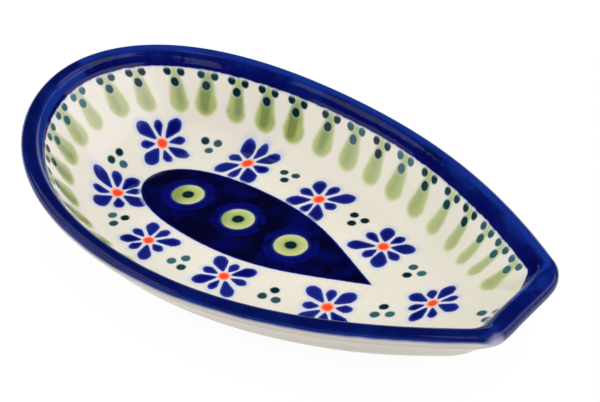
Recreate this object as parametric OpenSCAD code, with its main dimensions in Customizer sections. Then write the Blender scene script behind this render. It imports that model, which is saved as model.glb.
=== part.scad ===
// Stoneware spoon rest: an egg-shaped dish with a rolled rim that sweeps up at the round end,
// and a low straight lip at the narrow end where the spoon's handle lies.
// X runs along the dish, round end at -X and handle end at +X. Z is up and the table is at zero.

/* [Rim plan] */
// Length of the lip's centre line, from the round tip to the handle end
rim_l = 130.6; // [115:0.2:150]
// Greatest width of the lip's centre line
rim_w = 83; // [72:1:96]
// Distance from the round tip to the widest place
widest_l = 55; // [45:1:65]
// Width between the two corners of the handle end
end_w = 25.6; // [19:0.2:34]
// Angle in degrees between the sides and the long axis at the handle end
end_turn = 37; // [30:1:44]
// How far each corner of the handle end is cut back to round it
corner_cut = 3.5; // [2.5:0.5:5.5]
// How far the handle end curves in between its corners
end_hollow = 0.1; // [0:0.1:1.5]

/* [Rim height] */
// Height of the lip's centre at the round tip
tip_h = 27.2; // [23:0.2:32]
// Height that the rim sweeps down towards behind the round tip
sweep_h = 14.6; // [13:0.2:17]
// Height that the rim levels out at towards the handle end
level_h = 16.4; // [14.5:0.2:18]
// Height of the lip's centre at the corners of the handle end
corner_h = 18; // [16:0.2:20]
// How far the lip dips between the corners
end_dip = 1.3; // [0:0.1:2.4]
// Radius of the rolled lip
lip_r = 2; // [1.6:0.1:2.4]
// How much thicker the lip is at the handle end, on its inner side
end_lip_extra = 1.5; // [0:0.1:1.8]

/* [Bowl] */
// Height of the floor's upper face above the table
floor_h = 4.3; // [3.8:0.1:5.2]
// Width of the inside wall along the sides
side_wall_w = 15; // [12:0.5:18]
// Width of the inside wall at the round end
round_wall_w = 23; // [18:0.5:25]
// Width of the inside wall behind the handle lip
end_wall_w = 7; // [6.4:0.1:9]
// Length of the ramp that rises to the handle lip
ramp_l = 37; // [33:1:38]
// Height of the ramp at the handle lip
ramp_h = 10.7; // [8.5:0.1:11.5]

/* [Underside] */
// Height of the bare foot ring
foot_h = 1.2; // [0.8:0.1:1.6]
// Width of the bare foot ring
foot_w = 3; // [2:0.5:4]
// How far the side wall leans in by the level of the foot
side_lean = 10; // [8:0.2:11]
// How much farther it leans in at the round end
round_lean = 3.3; // [2:0.1:5]
// How far it leans in at the handle end
end_lean = 14.2; // [10:0.2:16]
// How far the rounding under the wall reaches in to the foot
belly_w = 6; // [4.5:0.5:7]

/* [Glaze] */
// Thickness of the fired glaze
glaze_t = 0.35; // [0.25:0.05:0.5]
// Width of the cobalt band inside the rim, along the sides
band_w = 3.4; // [3:0.1:4.2]
// Width of the cobalt band inside the round end
round_band_w = 3.5; // [3:0.1:4.2]
// Width of the cobalt band inside the handle lip
end_band_w = 5.7; // [4.8:0.1:6.2]
// Thickness of the stamped colours
paint_t = 0.25; // [0.15:0.05:0.3]

/* [Painted leaf] */
// Gap between the leaf's round end and the foot of the wall
leaf_back_gap = 0.4; // [0.2:0.1:3]
// Gap between the leaf's pointed tip and the foot of the ramp
leaf_tip_gap = 0.3; // [0.1:0.1:3]
// Gap between the leaf's sides and the short petals beside it
leaf_side_gap = 0.25; // [0.2:0.05:3]
// Radius of each eye ring
eye_r = 4.1; // [3.2:0.1:4.4]
// Radius of each pupil
pupil_r = 1.5; // [1:0.1:2]

/* [Painted flowers and drops] */
// Reach of a long petal from the flower's centre
petal_reach = 8; // [6.5:0.1:8.2]
// Width of a long petal
petal_w = 3.4; // [2.4:0.1:3.8]
// Reach of a short petal from the flower's centre
small_reach = 6.1; // [5:0.1:6.6]
// Width of a short petal
small_w = 2.3; // [1.6:0.1:2.6]
// Radius of a flower's centre
heart_r = 1.55; // [1.2:0.05:1.8]
// Radius of a stamped dot
dot_r = 1.05; // [0.8:0.05:1.2]
// Distance of each dot from the middle of its group of three
dot_reach = 2.1; // [1.8:0.1:2.6]
// Number of green drops along each side
drops = 17; // [14:1:18]
// Length of a green drop down the wall, below its dots
drop_l = 6.8; // [5:0.2:7.4]
// Width of a green drop
drop_w = 6.2; // [4.5:0.1:6.8]
// How far a green drop slants towards the handle on its way down
drop_slant = 1.6; // [0:0.1:2]
// Distance from the cobalt band to the upper dots over a drop
upper_dot_gap = 1.4; // [1.2:0.1:2]
// Distance from the cobalt band to the lower dot over a drop
lower_dot_gap = 4.1; // [4:0.1:5]

/* [Hidden] */

cobalt = [0.03, 0.06, 0.42];
navy = [0.02, 0.02, 0.25];
cream = [0.93, 0.91, 0.85];
clay = [0.80, 0.76, 0.68];
leaf_green = [0.62, 0.72, 0.42];
teal = [0.05, 0.30, 0.30];
orange = [0.95, 0.35, 0.20];

// Steps round half of the rim: round part, side, corner and half of the handle end
part_steps = [15, 13, 4, 3];
plan_end = len(part_steps);
wall_shares = [0.78, 0.56, 0.36, 0.17];
floor_shares = [0.36, 0.7];
arc_step = 28;
belly_steps = 4;

// The plan outline's handles, as shares of the lengths that they follow
round_share = 0.436;
back_share = 0.73;
front_share = 0.29;
taper_share = 0.479;

// The leaf's widest place and its eyes, as shares of its length, its width beside the nearest
// flower, as a share of its full width, and its handles, as shares of the lengths that they follow
leaf_widest_share = 0.395;
leaf_beside_share = 0.946;
eye_share = 0.42;
eye_pitch_share = 0.236;
leaf_round_share = 0.62;
leaf_back_share = 0.62;
leaf_front_share = 0.42;
leaf_tip_shares = [0.4, 0.62];

// The wall's curve, the ramp's curve, and how sharply each end's shape takes over
wall_curve = 1.8;
ramp_curve = 1.5;
end_blend = 3;
dip_run_share = 1.4;
lean_from_share = 1.7;
lean_run_share = 0.75;
cap_share = 0.92;
straight_share = 0.45;
reach_limit_share = 0.85;

// The lip's arc runs from inside_angle, where the wall meets it, to outside_angle
inside_angle = 15;
outside_angle = 211;
band_angle = 183;

tiny = 0.001;
leaf_steps = 24;
round_sides = 48;
heart_sides = 7;
dot_sides = 5;
lip_fine_steps = 100;
ray_fine_steps = 60;
spine_from_share = 0.05;
drop_stop_share = 2.1;
drop_crowd_share = 0.112;
down_steps = 6;
stamp_reach = dot_r / 2;
paint_gap = 0.03;
spine_end_x = rim_l / 2 - ramp_l - lip_r * 2;
ramp_x = rim_l / 2 - ramp_l;
leaf_tip_x = ramp_x - leaf_tip_gap;
leaf_back_x = -rim_l / 2 + round_wall_w + leaf_back_gap;
leaf_l = leaf_tip_x - leaf_back_x;
front_l = rim_l - widest_l;
tip = [-rim_l / 2, 0];
widest = [widest_l - rim_l / 2, rim_w / 2];
corner = [rim_l / 2, end_w / 2];
corner_in = [rim_l / 2, end_w / 2 - corner_cut];
taper_l = front_l * taper_share;
side_stop = 1 - corner_cut / (3 * taper_l);

// The petals and drops as outlines in shares of their reach and half width
petal_shares = [[0, 0], [0.68, 1], [1, 0.5], [1, -0.5], [0.68, -1]];
drop_shares = [
    [0, 0.5], [0.45, 1], [0.85, 0.85], [1, 0.35], [1, -0.35], [0.85, -0.85], [0.45, -1], [0, -0.5]
];
// How far each dot over a drop stands to the side, as shares of their reach
upper_dot_shares = [-1, 1];

// Places of the flowers and dot groups, as shares of half the rim's length and width
flower_shares = [
    [-0.727, 0.248], [-0.404, 0.48], [-0.032, 0.456], [0.329, 0.32], [0.67, 0.01],
    [0.377, -0.298], [-0.007, -0.447], [-0.358, -0.474], [-0.664, -0.266]
];
trio_shares = [
    [-0.764, -0.08], [-0.599, 0.475], [-0.223, 0.528], [0.157, 0.432], [0.503, 0.228],
    [0.548, -0.166], [0.188, -0.411], [-0.183, -0.51], [-0.543, -0.441], [0.86, -0.005]
];
// Angles in degrees by which each flower and each group of dots is turned
flower_turns = [12, 47, 38, 28, -5, 70, 51, 31, 1];
trio_turns = [8, 58, 40, 25, 9, -1, -17, -36, 50, 47];
nearest_flower = 6;
leaf_w = (rim_w * abs(flower_shares[nearest_flower].y) - 2 * (small_reach + leaf_side_gap))
    / leaf_beside_share;
petal_pairs = 4;
dots_in_group = 3;

function mix(a, b, t) = a + (b - a) * t;
function bound(t) = max(0, min(1, t));
function ease(t) = let(s = bound(t)) s * s * (3 - 2 * s);
function bezier3(a, b, c, t) = mix(mix(a, b, t), mix(b, c, t), t);
function bezier4(a, b, c, d, t) = mix(bezier3(a, b, c, t), bezier3(b, c, d, t), t);
function unit(v) = v / norm(v);
function last(v) = v[len(v) - 1];

// Half of the lip's centre line in plan: part 0 to 1 is the round end, 1 to 2 the side,
// 2 to 3 the corner and 3 to 4 half of the handle end
function plan(v) =
    v < 1 ? bezier4(
        tip,
        [tip.x, widest.y * round_share],
        [widest.x - widest_l * back_share, widest.y],
        widest,
        v
    )
    : v < 2 ? side_plan((v - 1) * side_stop)
    : v < 3 ? bezier3(side_plan(side_stop), corner, corner_in, v - 2)
    : let(left = plan_end - v)
        [corner.x - end_hollow * (1 + cos(180 * left)) / 2, corner_in.y * left];
function side_plan(t) = bezier4(
    widest,
    [widest.x + front_l * front_share, widest.y],
    corner + taper_l * [-cos(end_turn), sin(end_turn)],
    corner,
    t
);

// Direction along the lip and square to it, inwards
function along(v) =
    v < tiny ? [0, 1]
    : v > plan_end - tiny ? [0, -1]
    : unit(plan(v + tiny) - plan(v - tiny));
function inwards(v) = let(a = along(v)) [a.y, -a.x];

// The straight line on the axis that the floor's rings close in on
function spine(v) =
    v > 2 ? [spine_end_x, 0]
    : let(s = max(v, spine_from_share), p = plan(s), n = inwards(s))
        [min(spine_end_x, p.x - p.y * n.x / n.y), 0];
function wall_top(v) = plan(v) + inwards(v) * lip_in(v);
function reach(v) = (spine(v) - wall_top(v)) * inwards(v);

// Plan place at a distance w inwards from the lip's centre line
function at(v, w) =
    w < lip_in(v) ? plan(v) + inwards(v) * w
    : mix(wall_top(v), spine(v), (w - lip_in(v)) / reach(v));

// Share by which the round end's or the handle end's own sizes have taken over
function round_part(v) = pow(max(0, inwards(v).x), end_blend);
function end_part(v) = pow(max(0, -inwards(v).x), end_blend);
function by_end(v, side, round, end) =
    side + (round - side) * round_part(v) + (end - side) * end_part(v);

// How far the lip reaches inwards from its centre line, and where the wall meets it
function lip_reach(v) = lip_r + end_lip_extra * end_part(v);
function lip_in(v) = lip_reach(v) * cos(inside_angle);

function lip_h(v) =
    bezier4(tip_h, sweep_h, level_h, corner_h, bound(plan(v).x / rim_l + 0.5))
    - end_dip * ease((v - 2) / dip_run_share);
function wall_w(v) =
    min(by_end(v, side_wall_w, round_wall_w, end_wall_w), lip_in(v) + reach(v) * reach_limit_share);
function cap_w(v) = lip_in(v) + reach(v) * cap_share;
function band(v) = by_end(v, band_w, round_band_w, end_band_w);

// Height of the floor, level and then rising along the ramp
function floor_z(x) = floor_h + ramp_h * pow(max(0, x - ramp_x) / ramp_l, ramp_curve);
function inside_z(v, w) =
    let(t = bound((w - lip_in(v)) / (wall_w(v) - lip_in(v))), g = 1 - pow(1 - t, wall_curve))
    mix(lip_h(v) + lip_r * sin(inside_angle), floor_z(at(v, w).x), g);

// The section at one place, as [distance inwards, height], from the floor up over the lip and
// down the outside to the foot
function floor_ws(v) =
    concat([cap_w(v)], [for (s = floor_shares) mix(cap_w(v), wall_w(v), s)], [wall_w(v)]);
function wall_ws(v) =
    concat([for (s = wall_shares) mix(band(v), wall_w(v), s)], [band(v)]);
function inside_points(v) = [for (w = concat(floor_ws(v), wall_ws(v))) [w, inside_z(v, w)]];
function lip_points(v) = [
    for (a = [inside_angle : arc_step : outside_angle])
        [(cos(a) > 0 ? lip_reach(v) : lip_r) * cos(a), lip_h(v) + lip_r * sin(a)]
];
function lean(v) = mix(
    side_lean + round_lean * max(0, inwards(v).x),
    end_lean,
    ease((v - lean_from_share) / lean_run_share)
);
function outside_points(v) =
    let(
        from = last(lip_points(v)),
        knee = [lean(v), foot_h],
        bend = mix(from, knee, straight_share),
        heel = [lean(v) + belly_w - glaze_t, foot_h]
    )
    [for (i = [0 : belly_steps]) bezier3(bend, knee, heel, i / belly_steps)];
function skin(v) = concat(inside_points(v), lip_points(v), outside_points(v));

// The clay's section lies one glaze thickness inside the skin
function clay_section(v) =
    let(s = skin(v), n = len(s))
    [
        for (i = [0 : n - 1])
            i == 0 ? s[0] - [0, glaze_t]
            : i == n - 1 ? s[i] + [glaze_t, 0]
            : let(t = unit(s[i + 1] - s[i - 1])) s[i] - glaze_t * [t[1], -t[0]]
    ];

floor_count = len(floor_shares) + 2;
band_edge = floor_count + len(wall_shares);
lip_count = floor((outside_angle - inside_angle) / arc_step) + 1;
rim_edge = band_edge + 1 + floor((band_angle - inside_angle) / arc_step);
heel = band_edge + lip_count + belly_steps + 1;

half_steps = [
    for (part = [0 : len(part_steps) - 1], i = [0 : part_steps[part] - 1])
        part + i / part_steps[part]
];
half_count = len(half_steps);
// Every station round the rim: its place along the half outline, and its side
stations = concat(
    [for (v = half_steps) [v, 1]],
    [[plan_end, 1]],
    [for (i = [half_count - 1 : -1 : 1]) [half_steps[i], -1]]
);
skins = [for (s = stations) skin(s[0])];
clays = [for (s = stations) clay_section(s[0])];

function set_down(station, point) =
    let(xy = at(station[0], point[0])) [xy.x, station[1] * xy.y, point[1]];
function skin_at(i, k) = set_down(stations[i], skins[i][k]);
function clay_at(i, k) = set_down(stations[i], clays[i][k]);
function ring_plan(extra) = [
    for (i = [0 : len(stations) - 1])
        let(p = set_down(stations[i], clays[i][heel] + [extra, 0])) [p.x, p.y]
];

// A closed solid through one section for each station. Sections that are closed rings make a
// hoop, and open ones are capped at both ends. Past the turn each quad splits the other way.
module loft(sections, hoop, turn) {
    n = len(sections);
    m = len(sections[0]);
    function id(i, k) = (i % n) * m + k % m;
    quads = [
        for (i = [0 : n - 1], k = [0 : hoop ? m - 1 : m - 2])
            let(a = id(i, k), b = id(i + 1, k), c = id(i + 1, k + 1), d = id(i, k + 1))
            each k < turn ? [[a, c, b], [a, d, c]] : [[a, d, b], [b, d, c]]
    ];
    caps = hoop ? [] : [
        [for (i = [0 : n - 1]) id(i, 0)],
        [for (i = [n - 1 : -1 : 0]) id(i, m - 1)]
    ];
    polyhedron([for (s = sections) each s], concat(quads, caps));
}

// A glaze coat between two places of the section, with the clay's own face as its back
module coat(from, to, open_floor) {
    sections = [
        for (i = [0 : len(stations) - 1])
            concat(
                [for (k = [from : to]) skin_at(i, k)],
                [for (k = [to : -1 : from]) clay_at(i, k)]
            )
    ];
    loft(sections, !open_floor, to - from + 1);
}

module stoneware_body() {
    color(clay)
        loft([for (i = [0 : len(stations) - 1]) [for (k = [0 : heel]) clay_at(i, k)]], false, heel);
}

module foot_ring() {
    color(clay)
        linear_extrude(foot_h)
            difference() {
                polygon(ring_plan(0));
                polygon(ring_plan(foot_w));
            }
}

module inside_glaze() {
    color(cream)
        coat(0, band_edge, true);
}

module cobalt_rim() {
    color(cobalt)
        coat(band_edge, rim_edge, false);
}

module outside_glaze() {
    color(cream)
        coat(rim_edge, heel, false);
}

module base_glaze() {
    color(cream)
        translate([0, 0, foot_h - glaze_t])
            linear_extrude(glaze_t)
                polygon(ring_plan(foot_w));
}

// Rays from the wall's top to the axis, used to find the height of the floor at any place
ray_steps = [for (i = [0 : ray_fine_steps]) i * plan_end / ray_fine_steps];
rays = [for (v = ray_steps) [wall_top(v), unit(spine(v) - wall_top(v))]];
function side_of(q, ray) = cross(q - ray[0], ray[1]);
function ray_at(q) =
    let(c = [for (r = rays) side_of(q, r)])
    let(hits = [for (i = [0 : len(c) - 2]) if (c[i] <= 0 && c[i + 1] > 0) i])
    len(hits) == 0 ? plan_end
    : let(i = hits[0]) ray_steps[i] + (ray_steps[i + 1] - ray_steps[i]) * c[i] / (c[i] - c[i + 1]);
function surface_z(q) =
    let(p = [q.x, abs(q.y)], v = ray_at(p), top = wall_top(v), foot = spine(v))
    inside_z(v, lip_in(v) + reach(v) * norm(p - top) / norm(foot - top));

// A thin patch of colour on the inside face, through places already set on it
module patch(points) {
    n = len(points);
    lifted = concat(
        [for (p = points) p + [0, 0, paint_gap + paint_t]],
        [for (p = points) p + [0, 0, paint_gap]]
    );
    top = [for (i = [1 : n - 2]) [0, i, i + 1]];
    bottom = [for (i = [1 : n - 2]) [n, n + i + 1, n + i]];
    sides = [
        for (i = [0 : n - 1])
            let(j = (i + 1) % n) each [[i, n + i, j], [j, n + i, n + j]]
    ];
    polyhedron(lifted, concat(top, bottom, sides));
}

function from_shares(s) = [s.x * rim_l / 2, s.y * rim_w / 2];
function turned(p, angle) =
    [p.x * cos(angle) - p.y * sin(angle), p.x * sin(angle) + p.y * cos(angle)];

// A stamp keeps its own size where the wall slopes, so its plan is shorter up the slope
function slope_at(q) = [
    surface_z(q + [stamp_reach, 0]) - surface_z(q - [stamp_reach, 0]),
    surface_z(q + [0, stamp_reach]) - surface_z(q - [0, stamp_reach])
] / (2 * stamp_reach);
function pressed(o, slope) =
    let(k = norm(slope))
    k < tiny ? o : o - slope * (o * slope) / k ^ 2 * (1 - 1 / sqrt(1 + k ^ 2));
function stamped(centre, offsets) =
    let(slope = slope_at(centre))
    [for (o = offsets) let(q = centre + pressed(o, slope)) [q.x, q.y, surface_z(q)]];
function disc(r, sides) = [for (i = [0 : sides - 1]) -turned([r, 0], i * 360 / sides)];

function leaf_half(t) =
    let(back = leaf_l * leaf_widest_share, front = leaf_l - back)
    let(wide = [leaf_back_x + back, leaf_w / 2])
    t < 1 ? bezier4(
        [leaf_back_x, 0],
        [leaf_back_x, wide.y * leaf_round_share],
        [wide.x - back * leaf_back_share, wide.y],
        wide,
        t
    )
    : bezier4(
        wide,
        [wide.x + front * leaf_front_share, wide.y],
        [leaf_tip_x - front * leaf_tip_shares[0], wide.y * leaf_tip_shares[1]],
        [leaf_tip_x, 0],
        t - 1
    );

module at_eyes() {
    for (i = [-1 : 1])
        translate([leaf_back_x + leaf_l * (eye_share + i * eye_pitch_share), 0, floor_h + paint_gap])
            children();
}

module leaf_medallion() {
    edge = [for (i = [0 : leaf_steps]) leaf_half(2 * i / leaf_steps)];
    back = [for (i = [leaf_steps - 1 : -1 : 1]) [edge[i].x, -edge[i].y]];
    color(navy)
        difference() {
            translate([0, 0, floor_h + paint_gap])
                linear_extrude(paint_t)
                    polygon(concat(edge, back));
            at_eyes()
                translate([0, 0, -paint_t])
                    cylinder(h = 3 * paint_t, r = eye_r, $fn = round_sides);
        }
}

module eye_rings() {
    color(leaf_green)
        at_eyes()
            linear_extrude(paint_t)
                difference() {
                    circle(eye_r, $fn = round_sides);
                    circle(pupil_r, $fn = round_sides);
                }
}

module eye_pupils() {
    color(teal)
        at_eyes()
            cylinder(h = paint_t, r = pupil_r, $fn = round_sides);
}

module petal(centre, angle, reach, width) {
    from = heart_r + paint_t;
    offsets = [
        for (i = [len(petal_shares) - 1 : -1 : 0])
            let(s = petal_shares[i]) turned([from + s.x * (reach - from), s.y * width / 2], angle)
    ];
    patch(stamped(centre, offsets));
}

module daisy_petals() {
    color(cobalt)
        for (i = [0 : len(flower_shares) - 1], k = [0 : petal_pairs - 1]) {
            centre = from_shares(flower_shares[i]);
            angle = flower_turns[i] + k * 360 / petal_pairs;
            petal(centre, angle, petal_reach, petal_w);
            petal(centre, angle + 180 / petal_pairs, small_reach, small_w);
        }
}

module daisy_hearts() {
    color(orange)
        for (s = flower_shares)
            patch(stamped(from_shares(s), disc(heart_r, heart_sides)));
}

module dot_trios() {
    color(teal)
        for (i = [0 : len(trio_shares) - 1], k = [0 : dots_in_group - 1])
            let(from = turned([dot_reach, 0], trio_turns[i] + k * 360 / dots_in_group))
                patch(stamped(
                    from_shares(trio_shares[i]),
                    [for (o = disc(dot_r, dot_sides)) o + from]
                ));
}

// Length of the lip from the round tip to each fine step, to space the drops a little closer
// towards the handle
lip_steps = [for (i = [0 : lip_fine_steps]) i * plan_end / lip_fine_steps];
lip_lengths = [
    for (i = 0, l = 0; i < len(lip_steps);
         l = l + (i + 1 < len(lip_steps) ? norm(plan(lip_steps[i + 1]) - plan(lip_steps[i])) : 0),
         i = i + 1)
        l
];
lip_table = [for (i = [0 : len(lip_steps) - 1]) [lip_lengths[i], lip_steps[i]]];
drops_run = lookup(drop_stop_share, [for (p = lip_table) [p.y, p.x]]);
function drop_place(i) =
    let(u = (i + 0.5) / drops) drops_run * u * (1 + drop_crowd_share * (1 - u));

// Distance inwards after going a length down the wall in a number of steps
function down(v, w, length, steps) =
    steps == 0 ? w
    : let(slope = (inside_z(v, w + stamp_reach) - inside_z(v, w)) / stamp_reach)
        down(v, w + length / steps / sqrt(1 + slope ^ 2), length - length / steps, steps - 1);

// A patch through places given as [distance down the wall, distance along the lip]
module wall_patch(l, side, places) {
    points = [
        for (p = places)
            let(v = lookup(l + p.y, lip_table), w = down(v, band(v), p.x, down_steps), xy = at(v, w))
            [xy.x, side * xy.y, inside_z(v, w)]
    ];
    patch(side > 0 ? [for (i = [len(points) - 1 : -1 : 0]) points[i]] : points);
}
module each_drop() {
    for (i = [0 : drops - 1], side = [-1, 1]) {
        $l = drop_place(i);
        $side = side;
        children();
    }
}

module wall_drops() {
    from = lower_dot_gap + dot_r + paint_t;
    color(leaf_green)
        each_drop()
            wall_patch($l, $side, [
                for (s = drop_shares) [from + s.x * drop_l, s.x * drop_slant + s.y * drop_w / 2]
            ]);
}

module drop_dots() {
    places = concat(
        [for (s = upper_dot_shares) [upper_dot_gap, s * dot_reach]],
        [[lower_dot_gap, 0]]
    );
    color(teal)
        each_drop()
            for (p = places)
                wall_patch($l, $side, [for (o = disc(dot_r, dot_sides)) p - [o.x, o.y]]);
}

stoneware_body();
foot_ring();
inside_glaze();
cobalt_rim();
outside_glaze();
base_glaze();
leaf_medallion();
eye_rings();
eye_pupils();
daisy_petals();
daisy_hearts();
dot_trios();
wall_drops();
drop_dots();
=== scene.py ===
"""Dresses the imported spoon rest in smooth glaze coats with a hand-stamped pattern."""

import math
from copy import copy
from types import SimpleNamespace

import bpy
import numpy as np
from bpy.props import FloatProperty, FloatVectorProperty, PointerProperty
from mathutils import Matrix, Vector


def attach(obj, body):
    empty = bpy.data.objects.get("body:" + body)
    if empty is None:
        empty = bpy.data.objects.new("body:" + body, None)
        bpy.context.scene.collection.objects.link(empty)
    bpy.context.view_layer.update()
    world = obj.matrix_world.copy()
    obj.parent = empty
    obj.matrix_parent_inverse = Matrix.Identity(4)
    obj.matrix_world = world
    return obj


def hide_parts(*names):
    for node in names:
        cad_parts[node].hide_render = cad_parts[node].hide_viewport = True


bl_info = {
    "name": "Stamped Spoon Rest",
    "version": (1, 0, 0),
    "blender": (4, 5, 0),
    "location": "View3D > Sidebar > Spoon Rest",
    "description": "Models the glaze coats and the stamped pattern of a stoneware spoon rest",
    "category": "Object",
}

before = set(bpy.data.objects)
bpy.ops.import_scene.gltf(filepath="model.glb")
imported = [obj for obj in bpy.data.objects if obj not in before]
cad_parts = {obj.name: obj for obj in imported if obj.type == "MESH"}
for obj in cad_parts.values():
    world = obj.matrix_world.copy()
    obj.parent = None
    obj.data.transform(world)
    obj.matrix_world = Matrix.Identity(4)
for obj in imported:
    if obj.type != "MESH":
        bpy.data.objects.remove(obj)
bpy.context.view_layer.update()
MM = 0.001

# Handles of the rim's plan outline, as shares of the lengths that they follow
ROUND_SHARE = 0.436
BACK_SHARE = 0.73
FRONT_SHARE = 0.29
TAPER_SHARE = 0.479

# The wall's and the ramp's curves, and where one part of the shape takes over from another
WALL_CURVE = 1.8
RAMP_CURVE = 1.5
END_BLEND = 3
DIP_RUN_SHARE = 1.4
LEAN_FROM_SHARE = 1.7
LEAN_RUN_SHARE = 0.75
STRAIGHT_SHARE = 0.45
REACH_LIMIT_SHARE = 0.85
SPINE_FROM_SHARE = 0.05

# The lip's arc in degrees, where the rim's coat ends on its outer side, where its colour ends
# from the round end to the side, and where round the rim it starts to end lower at the handle
INSIDE_ANGLE = 15
OUTSIDE_ANGLE = 211
RIM_ANGLE = 150
BLUE_ANGLES = (187, 166)
BLUE_SHARES = (-0.77, 0.3)
END_BLUE_ANGLE = 194
END_BLUE_FROM_SHARE = 2.1
END_BLUE_RUN_SHARE = 0.6
RIM_OVERLAP_SHARE = 0.8

# Steps round half of the rim, by part, and rows of the section, by part
PART_STEPS = (110, 112, 16, 12)
FLOOR_ROWS = 24
WALL_ROWS = 32
BAND_ROWS = 5
ARC_ROWS = 24
OUTER_ARC_ROWS = 10
STRAIGHT_ROWS = 14
BELLY_ROWS = 12
BASE_ROWS = 10

# Sides of the foot ring's section, and the power that rounds its corners
FOOT_SIDES = 20
FOOT_ROUNDNESS = 0.4

# The coats that the dish's skin is parted into: name, material slot and replaced CAD nodes
DISH_COATS = (
    ("bowl_glaze", "cream_glaze", (
        "inside_glaze", "leaf_medallion", "eye_rings", "eye_pupils", "daisy_petals",
        "daisy_hearts", "dot_trios", "wall_drops", "drop_dots",
    )),
    ("rim_glaze", "cobalt_glaze", ("cobalt_rim",)),
    ("wall_glaze", "cream_glaze", ("outside_glaze",)),
)

# Places of the flowers and dot groups, as shares of half the rim's length and width, and the
# angles in degrees by which each is turned
FLOWER_SHARES = (
    (-0.727, 0.248), (-0.405, 0.478), (-0.033, 0.453), (0.329, 0.319), (0.671, 0.01),
    (0.377, -0.298), (-0.007, -0.447), (-0.358, -0.474), (-0.659, -0.256),
)
FLOWER_TURNS = (12, 47, 38, 28, -5, 70, 51, 31, 3)
# Each flower's size along and across the dish, as shares of the stamp's
FLOWER_SIZE_SHARES = (
    (1, 1), (1, 1.28), (1, 1.16), (0.96, 1.04), (0.84, 1), (0.96, 1), (0.93, 0.9), (0.98, 0.88),
    (1.07, 0.98),
)
TRIO_SHARES = (
    (-0.764, -0.081), (-0.599, 0.475), (-0.223, 0.528), (0.157, 0.432), (0.503, 0.227),
    (0.548, -0.166), (0.188, -0.411), (-0.183, -0.51), (-0.542, -0.441), (0.889, -0.008),
)
TRIO_TURNS = (8, 58, 40, 25, 9, -1, -17, -36, 50, 47)

# Places of the drops along each half of the lip, as shares of its length, and how far each slants
FAR_DROP_SHARES = (
    0.031, 0.087, 0.154, 0.212, 0.263, 0.315, 0.368, 0.432, 0.48, 0.533, 0.584, 0.639, 0.696,
    0.742, 0.793, 0.839, 0.882,
)
FAR_SLANT_SHARES = (
    0.14, 0.17, 0.1, -0.07, 0.01, 0.08, 0.13, 0.04, 0.18, 0.18, 0.2, 0.2, 0.09, 0.19, 0.19, 0.22,
    0.4,
)
NEAR_DROP_SHARES = (
    0.032, 0.083, 0.133, 0.182, 0.23, 0.279, 0.327, 0.381, 0.436, 0.489, 0.543, 0.597, 0.65,
    0.704, 0.757, 0.809, 0.875,
)
NEAR_SLANT_SHARE = -0.1

# The near drops come after the far ones, and are longer by up to this many millimetres
NEAR_DROP_FROM = len(FAR_DROP_SHARES)
NEAR_DROP_EXTRA = 4.4

# A flower's petals, their gap to its centre, and how long a petal's round end is for its width
PETALS = 8
PETAL_GAP = 0.55
PETAL_CAP_SHARE = 1.4

# The leaf's widest place and its eyes, as shares of its length, and the handles of its outline,
# as shares of the lengths that they follow
LEAF_WIDEST_SHARE = 0.395
EYE_SHARE = 0.422
EYE_PITCH_SHARE = 0.236
LEAF_ROUND_SHARE = 0.62
LEAF_BACK_SHARE = 0.62
LEAF_FRONT_SHARE = 0.42
LEAF_TIP_SHARES = (0.4, 0.62)

# How far the lip's crest lies from the blue band's edge, and the pale place at the handle end
CREST = 4.2
PALE_CORNER = (67.2, -12.9, 16)

# Where the floor starts to seem dished, towards the round end, over what run and how steeply
DISHED_FROM = -12
DISHED_RUN = 36
DISHED_SLOPE = 0.16

# The glaze's index of refraction, the colours of its clouds and specks, and the tint of the clay
# colour laid over the outside wall as thin glaze and painted shade
GLAZE_IOR = 1.42
CLOUD_SHARES = (0.965, 0.955, 0.92)
SPECK = (0.45, 0.4, 0.33)
WALL_SHADE_SHARES = (1, 0.95, 0.85)

# How far apart the numbered stamps lie in their maps, in millimetres, and a distance beyond all
CELL = 100
FAR_OFF = 1e9

# The point that the camera looks at, in millimetres, the floor, how white the camera and the
# gloss see it, and the share of that white over the floor's own colour and shadow
CAMERA_AIM = (5.97, 1.18, 17.3)
FLOOR_SIZE = 6
FLOOR_SQUARES = 8
FLOOR_COLOUR = (0.55, 0.54, 0.52, 1)
WHITE = 1.06
WHITE_SHARE = 0.9

# Each soft panel's angle in degrees round the dish, its distance and height, its two sides, its
# tint, and the way it faces where that isn't the dish
PANELS = {
    "window": ((28, 1.6, 0.62), (2.05, 0.92), (0.8, 0.73, 1), None),
    "near_panel": (
        (-126.6, 0.17, 0.1275), (0.167, 0.135), (0.8, 0.78, 1), (0.916, 0.4, 0)
    ),
    "back_panel": ((135, 1.5, 0.15), (2.4, 0.26), (0.3, 0.5, 1), None),
    "top_panel": ((-35, 0.6, 1.0), (0.4, 0.4), (1, 1, 1), None),
}


def mix(a, b, t):
    return a + (b - a) * t


def bound(t):
    return max(0.0, min(1.0, t))


def ease(t):
    t = bound(t)
    return t * t * (3 - 2 * t)


def between(a, b, count):
    """Numbers from a towards b in equal steps, without b itself."""
    return [mix(a, b, i / count) for i in range(count)]


def bezier(points, t):
    while len(points) > 1:
        points = [mix(a, b, t) for a, b in zip(points, points[1:])]
    return points[0]


def length(name, description, millimetres):
    return FloatProperty(
        name=name, description=description, default=millimetres * MM, min=0, unit="LENGTH",
        precision=5,
    )


def bearing(name, description, radians):
    return FloatProperty(name=name, description=description, default=radians, subtype="ANGLE")


def amount(name, description, default):
    return FloatProperty(name=name, description=description, default=default, min=0)


def colour(name, description, *parts):
    return FloatVectorProperty(
        name=name, description=description, default=parts, size=3, subtype="COLOR", min=0, max=1
    )


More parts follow.
